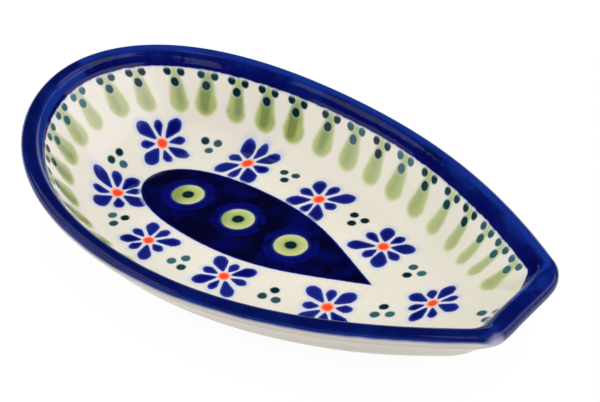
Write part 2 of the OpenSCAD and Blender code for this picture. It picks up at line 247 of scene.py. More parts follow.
class DishSizes(bpy.types.PropertyGroup):
    """Sizes of the dish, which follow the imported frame."""

    rim_length: length("Rim length", "Length of the lip's centre line", 130.6)
    rim_width: length("Rim width", "Greatest width of the lip's centre line", 83)
    widest: length("Widest place", "Distance from the round tip to the widest place", 55)
    end_width: length("Handle end width", "Width between the corners of the handle end", 25.6)
    end_turn: bearing("Side angle", "Angle of the sides at the handle end", math.radians(37))
    corner_cut: length("Corner cut", "How far each corner is cut back to round it", 3.5)
    end_hollow: length("End hollow", "How far the handle end curves in", 0.1)
    tip_height: length("Tip height", "Height of the lip's centre at the round tip", 27.2)
    sweep_height: length("Sweep height", "Height that the rim sweeps down towards", 14.6)
    level_height: length("Level height", "Height that the rim levels out at", 16.4)
    corner_height: length("Corner height", "Height of the lip's centre at the corners", 18)
    end_dip: length("End dip", "How far the lip dips between the corners", 1.3)
    lip_radius: length("Lip radius", "Radius of the rolled lip", 2)
    end_lip_extra: length("Handle lip", "How much thicker the lip is at the handle end", 1.5)
    floor_height: length("Floor height", "Height of the floor above the table", 4.3)
    side_wall: length("Side wall", "Width of the inside wall along the sides", 15)
    round_wall: length("Round wall", "Width of the inside wall at the round end", 23)
    end_wall: length("End wall", "Width of the inside wall behind the handle lip", 7)
    ramp_length: length("Ramp length", "Length of the ramp that rises to the handle lip", 37)
    ramp_height: length("Ramp height", "Height of the ramp at the handle lip", 10.7)
    foot_height: length("Foot height", "Height of the bare foot ring", 1.2)
    foot_width: length("Foot width", "Width of the bare foot ring", 3)
    side_lean: length("Side lean", "How far the side wall leans in", 10)
    round_lean: length("Round lean", "How much farther it leans in at the round end", 3.3)
    end_lean: length("End lean", "How far it leans in at the handle end", 14.2)
    belly: length("Belly", "Reach of the rounding under the wall", 6)
    glaze: length("Glaze", "Thickness of the fired glaze", 0.35)
    band: length("Blue band", "Width of the blue band inside the rim", 3.4)
    round_band: length("Round band", "Width of the blue band inside the round end", 3.6)
    end_band: length("End band", "Width of the blue band inside the handle lip", 5.7)


class PatternSizes(bpy.types.PropertyGroup):
    """Sizes of the stamped and painted pattern."""

    leaf_length: length("Leaf length", "Length of the dark leaf on the floor", 69.9)
    leaf_width: length("Leaf width", "Width of the dark leaf", 25.7)
    leaf_tip: length("Leaf tip", "Place of the leaf's pointed tip along the dish", 28)
    eye_radius: length("Eye radius", "Radius of each green ring in the leaf", 4.1)
    pupil_radius: length("Pupil radius", "Radius of each dark pupil", 1.5)
    petal_reach: length("Petal reach", "Reach of a long petal from the flower's centre", 8.2)
    petal_width: length("Petal width", "Width of a long petal", 3.9)
    small_reach: length("Small reach", "Reach of a short petal", 6.3)
    small_width: length("Small width", "Width of a short petal", 2.7)
    heart_radius: length("Heart radius", "Radius of a flower's centre", 1.5)
    dot_radius: length("Dot radius", "Radius of a stamped dot", 1.13)
    dot_reach: length("Dot reach", "Distance of each dot from the middle of its group", 1.95)
    drop_length: length("Drop length", "Length of a green drop down the wall", 12.2)
    drop_width: length("Drop width", "Width of a green drop", 6.6)
    upper_dots: length("Upper dots", "Distance of the upper dots from the blue band", 1.25)
    lower_dot: length("Lower dot", "Distance of the lower dot from the blue band", 4)


class PatternColours(bpy.types.PropertyGroup):
    """Colours of the glazes and of the stamped pattern."""

    cream: colour("Cream", "The clear glaze over the pale clay", 0.8, 0.76, 0.65)
    cobalt: colour("Cobalt", "The blue glaze of the rim", 0.0012, 0.0055, 0.105)
    # Also laid along the rim's crest as a painted sheen where the light from behind falls
    pale_cobalt_and_sheen: colour("Pale cobalt", "The blue glaze where it lies thin", 0.006, 0.028, 0.23)
    band_blue: colour("Band blue", "The blue glaze pooled along the band", 0.0004, 0.0012, 0.085)
    deep: colour("Deep blue", "The leaf, where it is darkest", 0.0003, 0.0005, 0.017)
    petal: colour("Petal blue", "The petals", 0.0006, 0.002, 0.12)
    thin_blue: colour("Thin blue", "Blue where it lies thin, along edges", 0.024, 0.044, 0.33)
    swirl: colour("Swirl", "The brighter blue in the leaf", 0.001, 0.0025, 0.12)
    halo: colour("Halo", "The faint bleed of blue into the cream", 0.56, 0.6, 0.72)
    wash: colour("Wash", "Green where it runs out thin", 0.51, 0.57, 0.24)
    green: colour("Green", "The drops and the rings", 0.36, 0.44, 0.12)
    olive: colour("Olive", "Green where it lies thick", 0.16, 0.23, 0.035)
    teal: colour("Teal", "The dots and the pupils", 0.0015, 0.018, 0.022)
    slate: colour("Slate", "Teal where it lies thin", 0.05, 0.165, 0.185)
    orange: colour("Orange", "The flowers' centres", 0.93, 0.07, 0.018)
    pink: colour("Pink", "The rim of the flowers' centres", 0.93, 0.36, 0.24)
    lilac: colour("Lilac", "Blue that has run out over the cream", 0.5, 0.52, 0.66)
    clay: colour("Clay", "The bare stoneware", 0.52, 0.47, 0.38)


class StudioSettings(bpy.types.PropertyGroup):
    """The camera and the light of the studio."""

    lens: amount("Lens", "Focal length of the camera in millimetres", 75.21)
    distance: length("Distance", "How far the camera stands from the dish", 288.2)
    turn: bearing("Turn", "The camera's direction in plan", -0.6774)
    pitch: bearing("Pitch", "How steeply it looks down", 0.6218)
    ambient: amount("Ambient", "Brightness of the room's soft light", 1.11)
    mirrored: amount("Mirrored room", "Brightness of the room in the gloss", 0.02)
    window: amount("Window", "Brightness of the tall panel on the right", 1.5)
    near_panel: amount("Near panel", "Brightness of the small near panel", 1.0)
    back_panel: amount("Back panel", "Brightness of the panel behind the dish", 1.2)
    top_panel: amount("Top panel", "Brightness of the panel overhead", 0.9)


class Station:
    """One place round half of the rim: v is 0 to 1 along the round end, 1 to 2 along the side,
    2 to 3 round the corner and 3 to 4 along half of the handle end."""

    def __init__(self, sizes, v):
        self.s, self.v = sizes, v
        self.side, self.way = 1, 0.0
        self.point = self.plan(v)
        if v < SPINE_FROM_SHARE / 10:
            along = Vector((0, 1))
        elif v > 4 - SPINE_FROM_SHARE / 10:
            along = Vector((0, -1))
        else:
            step = SPINE_FROM_SHARE / 50
            along = (self.plan(v + step) - self.plan(v - step)).normalized()
        self.inwards = Vector((along.y, -along.x))
        self.lip_reach = sizes.lip_radius + self.by_end(0, 0, sizes.end_lip_extra)
        self.lip_in = self.lip_reach * math.cos(math.radians(INSIDE_ANGLE))
        self.top = self.point + self.inwards * self.lip_in
        self.foot = self.spine()
        self.reach = (self.foot - self.top).dot(self.inwards)
        self.height = self.lip_height()
        self.band = self.by_end(sizes.band, sizes.round_band, sizes.end_band)
        self.wall = min(
            self.by_end(sizes.side_wall, sizes.round_wall, sizes.end_wall),
            self.lip_in + self.reach * REACH_LIMIT_SHARE,
        )
        round_part = max(0.0, self.inwards.x)
        self.lean = mix(
            sizes.side_lean + sizes.round_lean * round_part,
            sizes.end_lean,
            ease((v - LEAN_FROM_SHARE) / LEAN_RUN_SHARE),
        )

    def plan(self, v):
        s = self.s
        widest = Vector((s.widest - s.rim_length / 2, s.rim_width / 2))
        corner = Vector((s.rim_length / 2, s.end_width / 2))
        corner_in = corner - Vector((0, s.corner_cut))
        front = s.rim_length - s.widest
        taper = front * TAPER_SHARE
        stop = 1 - s.corner_cut / (3 * taper)
        side = [
            widest,
            widest + Vector((front * FRONT_SHARE, 0)),
            corner + taper * Vector((-math.cos(s.end_turn), math.sin(s.end_turn))),
            corner,
        ]
        if v < 1:
            tip = Vector((-s.rim_length / 2, 0))
            upwards = Vector((0, widest.y * ROUND_SHARE))
            back = Vector((s.widest * BACK_SHARE, 0))
            return bezier([tip, tip + upwards, widest - back, widest], v)
        if v < 2:
            return bezier(side, (v - 1) * stop)
        if v < 3:
            return bezier([bezier(side, stop), corner, corner_in], v - 2)
        hollow = s.end_hollow * (1 + math.cos(math.pi * (4 - v))) / 2
        return Vector((corner.x - hollow, corner_in.y * (4 - v)))

    def spine(self):
        s = self.s
        end = s.rim_length / 2 - s.ramp_length - s.lip_radius * 2
        if self.v > 2:
            return Vector((end, 0))
        if self.v < SPINE_FROM_SHARE:
            return Station(s, SPINE_FROM_SHARE).foot
        p, n = self.point, self.inwards
        return Vector((min(end, p.x - p.y * n.x / n.y), 0))

    def by_end(self, side, round_end, handle_end):
        near_round = max(0.0, self.inwards.x) ** END_BLEND
        near_handle = max(0.0, -self.inwards.x) ** END_BLEND
        return side + (round_end - side) * near_round + (handle_end - side) * near_handle

    def lip_height(self):
        s = self.s
        heights = [s.tip_height, s.sweep_height, s.level_height, s.corner_height]
        swept = bezier(heights, bound(self.point.x / s.rim_length + 0.5))
        return swept - s.end_dip * ease((self.v - 2) / DIP_RUN_SHARE)

    def at(self, w):
        """Plan place at a distance w inwards from the lip's centre line."""
        if w < self.lip_in:
            return self.point + self.inwards * w
        return mix(self.top, self.foot, (w - self.lip_in) / self.reach)

    def inside_z(self, w):
        s = self.s
        ramp = max(0.0, self.at(w).x - s.rim_length / 2 + s.ramp_length) / s.ramp_length
        floor = s.floor_height + s.ramp_height * ramp**RAMP_CURVE
        share = bound((w - self.lip_in) / (self.wall - self.lip_in))
        top = self.height + s.lip_radius * math.sin(math.radians(INSIDE_ANGLE))
        return mix(top, floor, 1 - (1 - share) ** WALL_CURVE)

    def lip(self, degrees):
        a = math.radians(degrees)
        reach = self.lip_reach if math.cos(a) > 0 else self.s.lip_radius
        return (reach * math.cos(a), self.height + self.s.lip_radius * math.sin(a))

    def inside_rows(self):
        """The section from the axis over the floor and up the wall to the crease under the lip."""
        ends = (self.lip_in + self.reach, self.wall, self.band * RIM_OVERLAP_SHARE, self.lip_in)
        counts = (FLOOR_ROWS, WALL_ROWS, BAND_ROWS)
        spans = [between(*span) for span in zip(ends, ends[1:], counts)]
        return [(w, self.inside_z(w)) for places in spans for w in places]

    def lip_rows(self):
        return [self.lip(a) for a in between(INSIDE_ANGLE, RIM_ANGLE, ARC_ROWS)]

    def outside_rows(self):
        s = self.s
        end = self.lip(OUTSIDE_ANGLE)
        arc = [self.lip(a) for a in between(RIM_ANGLE, OUTSIDE_ANGLE, OUTER_ARC_ROWS)]
        knee = (self.lean, s.foot_height)
        bend = tuple(mix(a, b, STRAIGHT_SHARE) for a, b in zip(end, knee))
        heel = (self.lean + s.belly, s.foot_height)
        straight = zip(*(between(a, b, STRAIGHT_ROWS) for a, b in zip(end, bend)))
        belly = [
            tuple(bezier(sides, t) for sides in zip(bend, knee, heel))
            for t in (*between(0, 1, BELLY_ROWS), 1)
        ]
        return [*arc, *straight, *belly]

    def set_down(self, w, z):
        place = self.at(w)
        return (place.x, self.side * place.y, z)


def rim_stations(sizes):
    """Stations all the way round, each with its side and how far along the lip it lies."""
    half = [
        Station(sizes, v)
        for part, steps in enumerate(PART_STEPS)
        for v in between(part, part + 1, steps)
    ]
    half.append(Station(sizes, len(PART_STEPS)))
    for a, b in zip(half, half[1:]):
        b.way = a.way + (b.point - a.point).length
    near = [copy(station) for station in half[-2::-1]]
    for station in near:
        station.side = -1
    return half + near


def in_millimetres(sizes):
    """The same names with their lengths in millimetres."""
    names = type(sizes).__annotations__
    return SimpleNamespace(**{name: getattr(sizes, name) / MM for name in names})


def deselect():
    bpy.ops.object.select_all(action="DESELECT")


def only(piece):
    deselect()
    piece.select_set(True)
    bpy.context.view_layer.objects.active = piece


def context_piece(name):
    piece = bpy.context.object
    piece.name = piece.data.name = name
    return piece


def edit(step, select="SELECT"):
    """Runs an edit-mode step on the active piece, on the whole of it unless told otherwise."""
    bpy.ops.object.mode_set(mode="EDIT")
    if select:
        bpy.ops.mesh.select_all(action=select)
    step()
    bpy.ops.object.mode_set(mode="OBJECT")


def merge_doubles():
    bpy.ops.mesh.remove_doubles(threshold=MM / 500)


def set_points(piece, points):
    """Moves a piece's points to their places."""
    if len(piece.data.vertices) != len(points):
        raise RuntimeError(f"{piece.name} has another count of points than its stations and rows")
    piece.data.vertices.foreach_set("co", np.array(points, np.float32).ravel())
    piece.data.update()


def face_up(piece, is_up):
    """Turns the faces of a thin piece up or down, all the same way."""
    if (piece.data.polygons[0].normal.z > 0) != is_up:
        only(piece)
        edit(bpy.ops.mesh.flip_normals)


def swept_grid(name, stations, sections):
    """A grid whose columns are the stations and whose rows are the section's points."""
    columns, rows = len(stations), len(sections[0])
    deselect()
    bpy.ops.mesh.primitive_grid_add(x_subdivisions=columns - 1, y_subdivisions=rows - 1, size=MM)
    grid = context_piece(name)
    set_points(grid, [
        station.set_down(*section[row])
        for row in range(rows)
        for station, section in zip(stations, sections)
    ])
    return grid


def stiffen(piece, thickness):
    """Gives a coat its thickness, inwards from its outer face."""
    only(piece)
    coat = piece.modifiers.new("Coat", "SOLIDIFY")
    coat.thickness = thickness
    coat.offset = -1
    bpy.ops.object.modifier_apply(modifier=coat.name)
    bpy.ops.object.shade_smooth_by_angle(angle=math.radians(40))


def settle(piece, node_names, finish):
    """Puts a finished piece on its body, in place of its CAD nodes."""
    piece.data.materials.clear()
    piece.data.materials.append(finish)
    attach(piece, "root")
    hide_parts(*node_names)


def node_sum(operation, swapped=False):
    """An operator or method of a value that adds a Math node."""

    def method(self, *others):
        values = (*others, self) if swapped else (self, *others)
        return self.finish.add("ShaderNodeMath", {"operation": operation}, dict(enumerate(values)))

    return method


class Value:
    """A socket that can be written into sums; each operator adds its Math node."""

    def __init__(self, finish, socket):
        self.finish, self.socket = finish, socket

    __add__ = __radd__ = node_sum("ADD")
    __sub__ = node_sum("SUBTRACT")
    __rsub__ = node_sum("SUBTRACT", swapped=True)
    __mul__ = __rmul__ = node_sum("MULTIPLY")
    __truediv__ = node_sum("DIVIDE")
    __pow__ = node_sum("POWER")
    __abs__ = node_sum("ABSOLUTE")
    least = node_sum("MINIMUM")
    most = node_sum("MAXIMUM")
    rounded = node_sum("ROUND")
    fraction = node_sum("FRACT")
    modulo = node_sum("FLOORED_MODULO")
    sine = node_sum("SINE")
    cosine = node_sum("COSINE")
    angle_over = node_sum("ARCTAN2")

    def bound(self):
        return self.least(1.0).most(0.0)

    def step(self, start, end):
        """Rises smoothly from 0 at start to 1 at end."""
        inputs = {0: self, 1: min(start, end), 2: max(start, end)}
        rise = self.finish.add("ShaderNodeMapRange", {"interpolation_type": "SMOOTHSTEP"}, inputs)
        return rise if end > start else 1 - rise

    def since(self, number):
        """1 for the stamps from a number on, and 0 for those before it."""
        return self.step(number - 0.6, number - 0.4)


def span(first, *others):
    """The straight distance over some sides square to each other."""
    return sum((side * side for side in others), first * first) ** 0.5


def sectors(angle, count):
    """Which of some equal sectors an angle lies in, and the angle from the middle of that one."""
    sector = (angle * (count / (2 * math.pi))).rounded()
    return sector, angle - sector * (2 * math.pi / count)


def toned(tone, *shares):
    """A colour times one share, or times a share for each of its parts."""
    return [part * share for part, share in zip(tone, shares * (3 // len(shares)))]


class Finish:
    """The nodes of a material or of the world under construction, with one shader."""

    def __init__(self, owner, shader="BSDF_PRINCIPLED", **constants):
        owner.use_nodes = True
        self.owner, self.tree = owner, owner.node_tree
        self.shader = self.find(shader)
        for socket, value in constants.items():
            self.shader.inputs[socket.replace("_", " ")].default_value = value

    def find(self, kind):
        return next(n for n in self.tree.nodes if n.type == kind)

    def add(self, kind, settings=None, inputs=None, output=0):
        node = self.tree.nodes.new(kind)
        for name, value in (settings or {}).items():
            setattr(node, name, value)
        for key, value in (inputs or {}).items():
            if isinstance(value, Value):
                self.tree.links.new(value.socket, node.inputs[key])
            else:
                node.inputs[key].default_value = value
        return Value(self, node.outputs[output])

    def part(self, vector, axis):
        return self.add("ShaderNodeSeparateXYZ", None, {0: vector}, axis)

    def blend(self, below, above, share):
        """One colour over another by a share from 0 to 1."""
        values = {0: share}
        for key, tone in ((6, below), (7, above)):
            values[key] = tone if isinstance(tone, Value) else (*tone, 1)
        return self.add("ShaderNodeMix", {"data_type": "RGBA"}, values, 2)

    def set(self, socket, value):
        self.tree.links.new(value.socket, self.shader.inputs[socket])


class Coat(Finish):
    """A finish that is built up in layers, by object coordinates in millimetres."""

    def __init__(self, name, colours, **constants):
        super().__init__(bpy.data.materials.new(name), **constants)
        self.colours = colours
        where = self.add("ShaderNodeTexCoord", output="Object")
        scaled = {0: where, "Scale": 1 / MM}
        self.where = self.add("ShaderNodeVectorMath", {"operation": "SCALE"}, scaled)

    def along(self, axis):
        return self.part(self.where, axis)

    def lay(self, tone, share):
        """Lays a colour over what is there, by a share from 0 to 1."""
        self.shade = self.blend(self.shade, tone, share)

    def noise(self, scale, detail=2.0):
        inputs = {"Vector": self.where, "Scale": scale, "Detail": detail}
        return self.add("ShaderNodeTexNoise", {"noise_dimensions": "3D"}, inputs)

    def wobble(self, scale, reach=1.0, detail=2.0):
        """Noise to both sides of nothing."""
        return (self.noise(scale, detail) - 0.5) * reach

    def chance(self, number, seed):
        """A steady random value from 0 to 1 for each number."""
        pair = self.add("ShaderNodeCombineXYZ", None, {0: number, 1: seed})
        settings = {"noise_dimensions": "2D"}
        return self.add("ShaderNodeTexWhiteNoise", settings, {"Vector": pair})

    def surface(self, name):
        """The two coordinates of one of the piece's own maps."""
        where = self.add("ShaderNodeUVMap", {"uv_map": name})
        return self.part(where, 0), self.part(where, 1)

    def stamps(self, name):
        """The two coordinates of a numbered map and the number of the stamp."""
        across, down = self.surface(name)
        number = (across / CELL).rounded()
        return across - number * CELL, down, number

    def fire(self, scale, depth, form=0.0, roughness=None):
        """Links the colours, and a faint unevenness on a slow form of its own, in millimetres."""
        self.set("Base Color", self.shade)
        if roughness is not None:
            self.set("Roughness", self.noise(0.3) * 0.05 + roughness)
        height = self.noise(scale) * depth + form
        inputs = {"Height": height, "Strength": 1.0, "Distance": MM}
        self.set("Normal", self.add("ShaderNodeBump", None, inputs))
        return self.owner


def cream_glaze(coat):
    """Cream glaze with faint clouds in it and a few specks."""
    cream = coat.colours.cream
    clouds = coat.noise(0.06, 3.0).step(0.35, 0.75)
    shade = coat.blend(cream, toned(cream, *CLOUD_SHARES), clouds)
    specks = coat.noise(1.9, 1.0).step(0.77, 0.82)
    return coat.blend(shade, SPECK, specks * 0.35)


def cobalt_glaze(coat):
    """Blue glaze, deeper and paler in slow clouds and short streaks."""
    cobalt = coat.colours.cobalt
    clouds = coat.noise(0.09, 3.0)
    streaks = coat.noise(0.35)
    deep = coat.blend(cobalt, toned(cobalt, 0.45), clouds.step(0.5, 0.72))
    thin = (clouds.step(0.5, 0.3) * 0.5 + streaks.step(0.52, 0.72) * 0.3).least(1.0)
    return coat.blend(deep, coat.colours.pale_cobalt_and_sheen, thin)


def petal_edge(along, across, start, reach, half_width):
    """Distance outside a petal's edge, less than nothing inside it."""
    round_end = reach - half_width * PETAL_CAP_SHARE
    share = ((along - start) / (round_end - start)).bound()
    beyond = (along - round_end).most(0.0) / PETAL_CAP_SHARE
    width = (share**0.8 * 0.85 + 0.15) * half_width
    return span(across, beyond) - width + (start - along).most(0.0)


def flowers_over(coat, pattern):
    """Stamps the flowers and the groups of three dots."""
    colours = coat.colours
    a, b, number = coat.stamps("Stamps")
    radius, angle = span(a, b), b.angle_over(a)
    is_trio = number.since(len(FLOWER_SHARES))
    is_flower = 1 - is_trio
    wobble = coat.wobble(0.9)

    sector, turn = sectors(angle, PETALS)
    petal = sector.modulo(PETALS) + number * PETALS
    turn = turn + (coat.chance(petal, 3.0) - 0.5) * 0.12
    is_short = (sector / 2).fraction().step(0.2, 0.3)
    growth = coat.chance(petal, 1.0) * 0.18 + 0.9
    reach = pattern.petal_reach - is_short * (pattern.petal_reach - pattern.small_reach)
    width = pattern.petal_width - is_short * (pattern.petal_width - pattern.small_width)
    half_width = width / 2 * (coat.chance(petal, 5.0) * 0.14 + 0.9)
    start = pattern.heart_radius + PETAL_GAP
    along, across = radius * turn.cosine(), radius * turn.sine()
    edge = petal_edge(along, across, start, reach * growth, half_width) + wobble * 0.25
    inner = edge.step(0.1, -0.9) * (coat.chance(petal, 2.0) * 0.3 + 0.7)
    coat.lay(colours.halo, edge.step(1.2, 0.1) * is_flower * 0.65)
    blue = coat.blend(colours.thin_blue, colours.petal, inner)
    coat.lay(blue, edge.step(0.16, -0.16) * is_flower)

    core = radius + wobble * 0.35 - pattern.heart_radius
    coat.lay(colours.pink, core.step(0.5, 0.0) * is_flower * 0.55)
    orange = coat.blend(colours.pink, colours.orange, core.step(-0.05, -0.6))
    coat.lay(orange, core.step(0.12, -0.12) * is_flower)

    third, turn = sectors(angle, 3)
    distance = span(radius * turn.cosine() - pattern.dot_reach, radius * turn.sine())
    dot_over(coat, pattern, distance + wobble * 0.25, third + number * 3, is_trio)


def dot_over(coat, pattern, distance, number, allowed, thinness=0.75):
    """One stamped teal dot, thinner in some places than in others."""
    colours = coat.colours
    edge = distance - pattern.dot_radius
    thin = coat.chance(number, 7.0).step(0.3, 1.0) * thinness
    teal = coat.blend(colours.teal, colours.slate, thin)
    teal = coat.blend(teal, colours.slate, edge.step(-0.35, 0.0) * 0.5)
    coat.lay(colours.halo, edge.step(0.7, 0.0) * allowed * 0.25)
    coat.lay(teal, edge.step(0.22, -0.2) * allowed)


def drops_over(coat, pattern):
    """Green drops down the wall, each with two dots against the band and one below them."""
    colours = coat.colours
    across, down, number = coat.stamps("Drops")
    near = number - NEAR_DROP_FROM
    growth = ((near - 3.5) * 1.5).least(NEAR_DROP_EXTRA) * near.since(4)
    long = growth + pattern.drop_length
    weight = coat.chance(number, 4.0)
    slim = number.step(6, 12) * (1 - near.since(0)) * 0.2
    half = (weight * 0.2 + 0.92 - slim) * (pattern.drop_width / 2)
    centre = long - half
    share = (down / centre).bound()
    wobble = coat.wobble(0.4)
    aside = span(across + wobble * 0.5, (down - centre).most(0.0))
    edge = aside - (share**0.9 * 0.72 + 0.28) * half + wobble * 0.4
    allowed = (down - long).step(3, 2)

    # Each drop has a thick streak, and those in the middle of the far wall are denser
    x = coat.along(0)
    dense = x.step(-62, -42) * x.step(2, -26)
    streak = abs(across + (weight - 0.5) * 1.4).step(2.2, 0.1)
    run = share.step(0.1, 0.6) * (down / long).step(1.0, 0.75)
    thick = streak * run * (weight * 0.6 + 0.6) + coat.noise(0.3).step(0.45, 0.8) * 0.3
    green = coat.blend(colours.wash, colours.green, edge.step(0.0, -1.1))
    green = coat.blend(green, colours.olive, (thick * (dense * 1.1 + 0.4)).least(1.0))
    strength = weight * 0.08 + dense * 0.14 + x.step(-62, -36) * 0.1 + 0.65
    coat.lay(green, edge.step(0.6, -0.6) * allowed * strength)

    fine = coat.wobble(0.9, 0.25)
    upper = span(abs(across) - pattern.dot_reach, down - pattern.upper_dots)
    lower = span(across + 0.25, down - pattern.lower_dot) - 0.12
    for distance in (upper, lower):
        dot_over(coat, pattern, distance + fine, number, allowed, 0.8 - dense * 0.6)


def leaf_over(coat, pattern):
    """The dark leaf with its three green eyes."""
    colours = coat.colours
    fine = coat.wobble(0.8, 0.25)
    edge = coat.add("ShaderNodeAttribute", {"attribute_name": "leaf"}, None, "Fac") + fine
    x, y = coat.along(0), coat.along(1)
    pitch = pattern.leaf_length * EYE_PITCH_SHARE
    middle = pattern.leaf_tip - pattern.leaf_length * (1 - EYE_SHARE)
    nearest = ((x - middle) / pitch).rounded().most(-1.0).least(1.0)
    dx = x - middle - nearest * pitch
    radius = span(dx, y)
    clouds = coat.noise(0.16, 3.0).step(0.42, 0.75)
    arcs = radius.step(7.5, 4.4) + abs(radius - 6.3).step(0.8, 0.1)
    glow = arcs * coat.noise(0.22).step(0.3, 0.55)
    bright = (clouds * 0.6 + glow * 0.8).most(edge.step(-1.1, -0.1) * 0.6).least(1.0)
    night = coat.blend(colours.deep, toned(colours.deep, 0.3), x.step(8, 24) * 0.8)
    night = coat.blend(night, colours.swirl, bright)
    night = coat.blend(night, colours.thin_blue, edge.step(-0.4, 0.1) * 0.8)
    coat.lay(colours.halo, edge.step(1.0, 0.1) * 0.5)
    coat.lay(night, edge.step(0.14, -0.14))

    ring = radius + fine - pattern.eye_radius
    lean = (dx * -0.8 - y * 0.5) / pattern.eye_radius
    thick = (lean + nearest * -0.35).step(0.2, 1.1) * 0.8
    green = coat.blend(colours.wash, colours.green, ring.step(-0.4, -1.6) * 0.6)
    coat.lay(colours.thin_blue, ring.step(1.0, 0.0) * 0.4)
    coat.lay(coat.blend(green, colours.olive, thick), ring.step(0.18, -0.18))
    pupil = radius + fine - pattern.pupil_radius
    coat.lay(colours.olive, pupil.step(0.9, 0.0) * 0.5)
    coat.lay(colours.teal, pupil.step(0.2, -0.2))


def band_over(coat):
    """The blue of the rim, which ends in an uneven line on the wall."""
    edge = coat.surface("Wall")[1] + coat.wobble(0.5, 0.7)
    coat.lay(coat.colours.halo, edge.step(0.9, 0.0) * 0.6)
    blue = coat.blend(cobalt_glaze(coat), coat.colours.band_blue, 0.7)
    coat.lay(blue, edge.step(0.22, -0.22))


def corner_over(coat):
    """Blue that has run out thin at the near corner of the handle end."""
    sides = (coat.along(axis) - place for axis, place in enumerate(PALE_CORNER))
    away = span(*sides) + coat.wobble(0.4, 1.2)
    coat.lay(coat.colours.lilac, away.step(4.0, 1.6) * 0.7)


def bowl_finish(colours, pattern):
    """Cream glaze over the stamped pattern, on a floor that seems a little dished."""
    coat = Coat("Stamped glaze", colours, IOR=GLAZE_IOR)
    coat.shade = cream_glaze(coat)
    for stamp in (drops_over, flowers_over, leaf_over):
        stamp(coat, pattern)
    band_over(coat)
    rise = ((DISHED_FROM - coat.along(0)) / DISHED_RUN).bound()
    form = rise / 2 - (rise * (2 * math.pi)).sine() / (4 * math.pi)
    return coat.fire(0.12, 0.2, form * (DISHED_RUN * DISHED_SLOPE), 0.06)


def rim_finish(colours):
    """Blue glaze that thins out along the crest, with a painted sheen there and painted shade on
    the near outer side, and pales at the near handle corner.
    """
    coat = Coat("Cobalt glaze", colours, IOR=GLAZE_IOR)
    across, down = coat.surface("Wall")
    far = across.step(-1.0, 1.0)
    past = coat.wobble(0.25, 0.5) - CREST - down
    coat.shade = cobalt_glaze(coat)
    coat.lay(colours.band_blue, past.step(-0.8, -2.4) * 0.7)
    # Painted sheen: the pale blue along the crest, on its inner side at the near rim and its outer
    # side at the far rim, stands partly for glaze running thin over the crest and partly for light
    # falling from behind and above
    near_crest_sheen = past.step(0.8, -1.8) * (1 - far)
    far_crest_sheen = past.step(-0.6, 0.6) * past.step(2.0, 1.4) * far
    patches = coat.noise(0.06).step(0.2, 0.6) * 0.5 + 0.5
    coat.lay(colours.pale_cobalt_and_sheen, (near_crest_sheen + far_crest_sheen * 0.9) * patches)
    end = coat.along(0).step(57, 62) * past.step(0.8, -1.2)
    coat.lay(toned(colours.band_blue, 0.5), end * 0.7)
    # Painted shade: the near rim's outer side below the crest is darkened because it faces away
    # from the light
    under = past.step(-0.8, 0.8) * past.step(3.4, 2.2) * (1 - far)
    coat.lay(toned(colours.cobalt, 0.55), under * 0.7)
    corner_over(coat)
    return coat.fire(0.12, 0.2, past.step(-1.0, -3.8) * 0.8, 0.06)


def wall_finish(colours):
    """Cream glaze of the outside wall, darkened with clay colour as painted shade that deepens
    towards the bottom, with the rim's blue along its upper edge.
    """
    coat = Coat("Cream glaze", colours, IOR=GLAZE_IOR)
    _, down = coat.surface("Wall")
    coat.shade = cream_glaze(coat)
    # Painted shade: the clay colour over the outside wall stands partly for the thinner outer
    # glaze and partly for the shade on the wall, which faces down and out, and it deepens towards
    # the foot as contact shade
    coat.lay(toned(colours.clay, *WALL_SHADE_SHARES), down.step(2, 10) * 0.35 + 0.55)
    edge = down + coat.wobble(0.2, 0.5, 1.0)
    coat.lay(colours.halo, edge.step(1.1, 0.1) * 0.5)
    coat.lay(colours.lilac, edge.step(0.7, 0.0) * 0.4)
    coat.lay(cobalt_glaze(coat), edge.step(0.45, -0.45))
    corner_over(coat)
    return coat.fire(0.12, 0.2, roughness=0.2)


def base_finish(colours):
    """Plain cream glaze inside the foot ring."""
    coat = Coat("Base glaze", colours, Roughness=0.14, IOR=GLAZE_IOR)
    coat.shade = cream_glaze(coat)
    return coat.fire(0.2, 0.2)


def clay_finish(name, colours):
    """Bare fired stoneware: matte and grainy."""
    coat = Coat(name, colours, Roughness=0.85, IOR=1.45)
    grain = coat.noise(2.2, 4.0).step(0.3, 0.75)
    coat.shade = coat.blend(colours.clay, toned(colours.clay, 0.78), grain)
    return coat.fire(3.0, 0.1)


def leaf_outline(pattern, steps=120):
    """Half of the leaf's outline in millimetres."""
    tip, half = pattern.leaf_tip, pattern.leaf_width / 2
    start = tip - pattern.leaf_length
    back = pattern.leaf_length * LEAF_WIDEST_SHARE
    front, wide = pattern.leaf_length - back, start + back
    round_end = [
        (start, 0),
        (start, half * LEAF_ROUND_SHARE),
        (wide - back * LEAF_BACK_SHARE, half),
        (wide, half),
    ]
    point = [
        (wide, half),
        (wide + front * LEAF_FRONT_SHARE, half),
        (tip - front * LEAF_TIP_SHARES[0], half * LEAF_TIP_SHARES[1]),
        (tip, 0),
    ]
    upper = [
        bezier([Vector(place) for place in part], i / steps)
        for part in (round_end, point)
        for i in range(steps)
    ]
    return np.array([*map(tuple, upper), (tip, 0)])


def leaf_distance(places, pattern):
    """How far each plan place, in millimetres, lies outside the leaf, less than nothing inside."""
    outline = leaf_outline(pattern)
    q = np.stack([places[:, 0], np.abs(places[:, 1])], 1)
    best = np.full(len(q), FAR_OFF)
    for a, b in zip(outline, outline[1:]):
        along = b - a
        t = np.clip(((q - a) @ along) / (along @ along), 0, 1)
        best = np.minimum(best, np.hypot(*(q - a - t[:, None] * along).T))
    half_width = np.interp(q[:, 0], outline[:, 0], outline[:, 1], left=-1, right=-1)
    return np.where(q[:, 1] < half_width, -best, best)


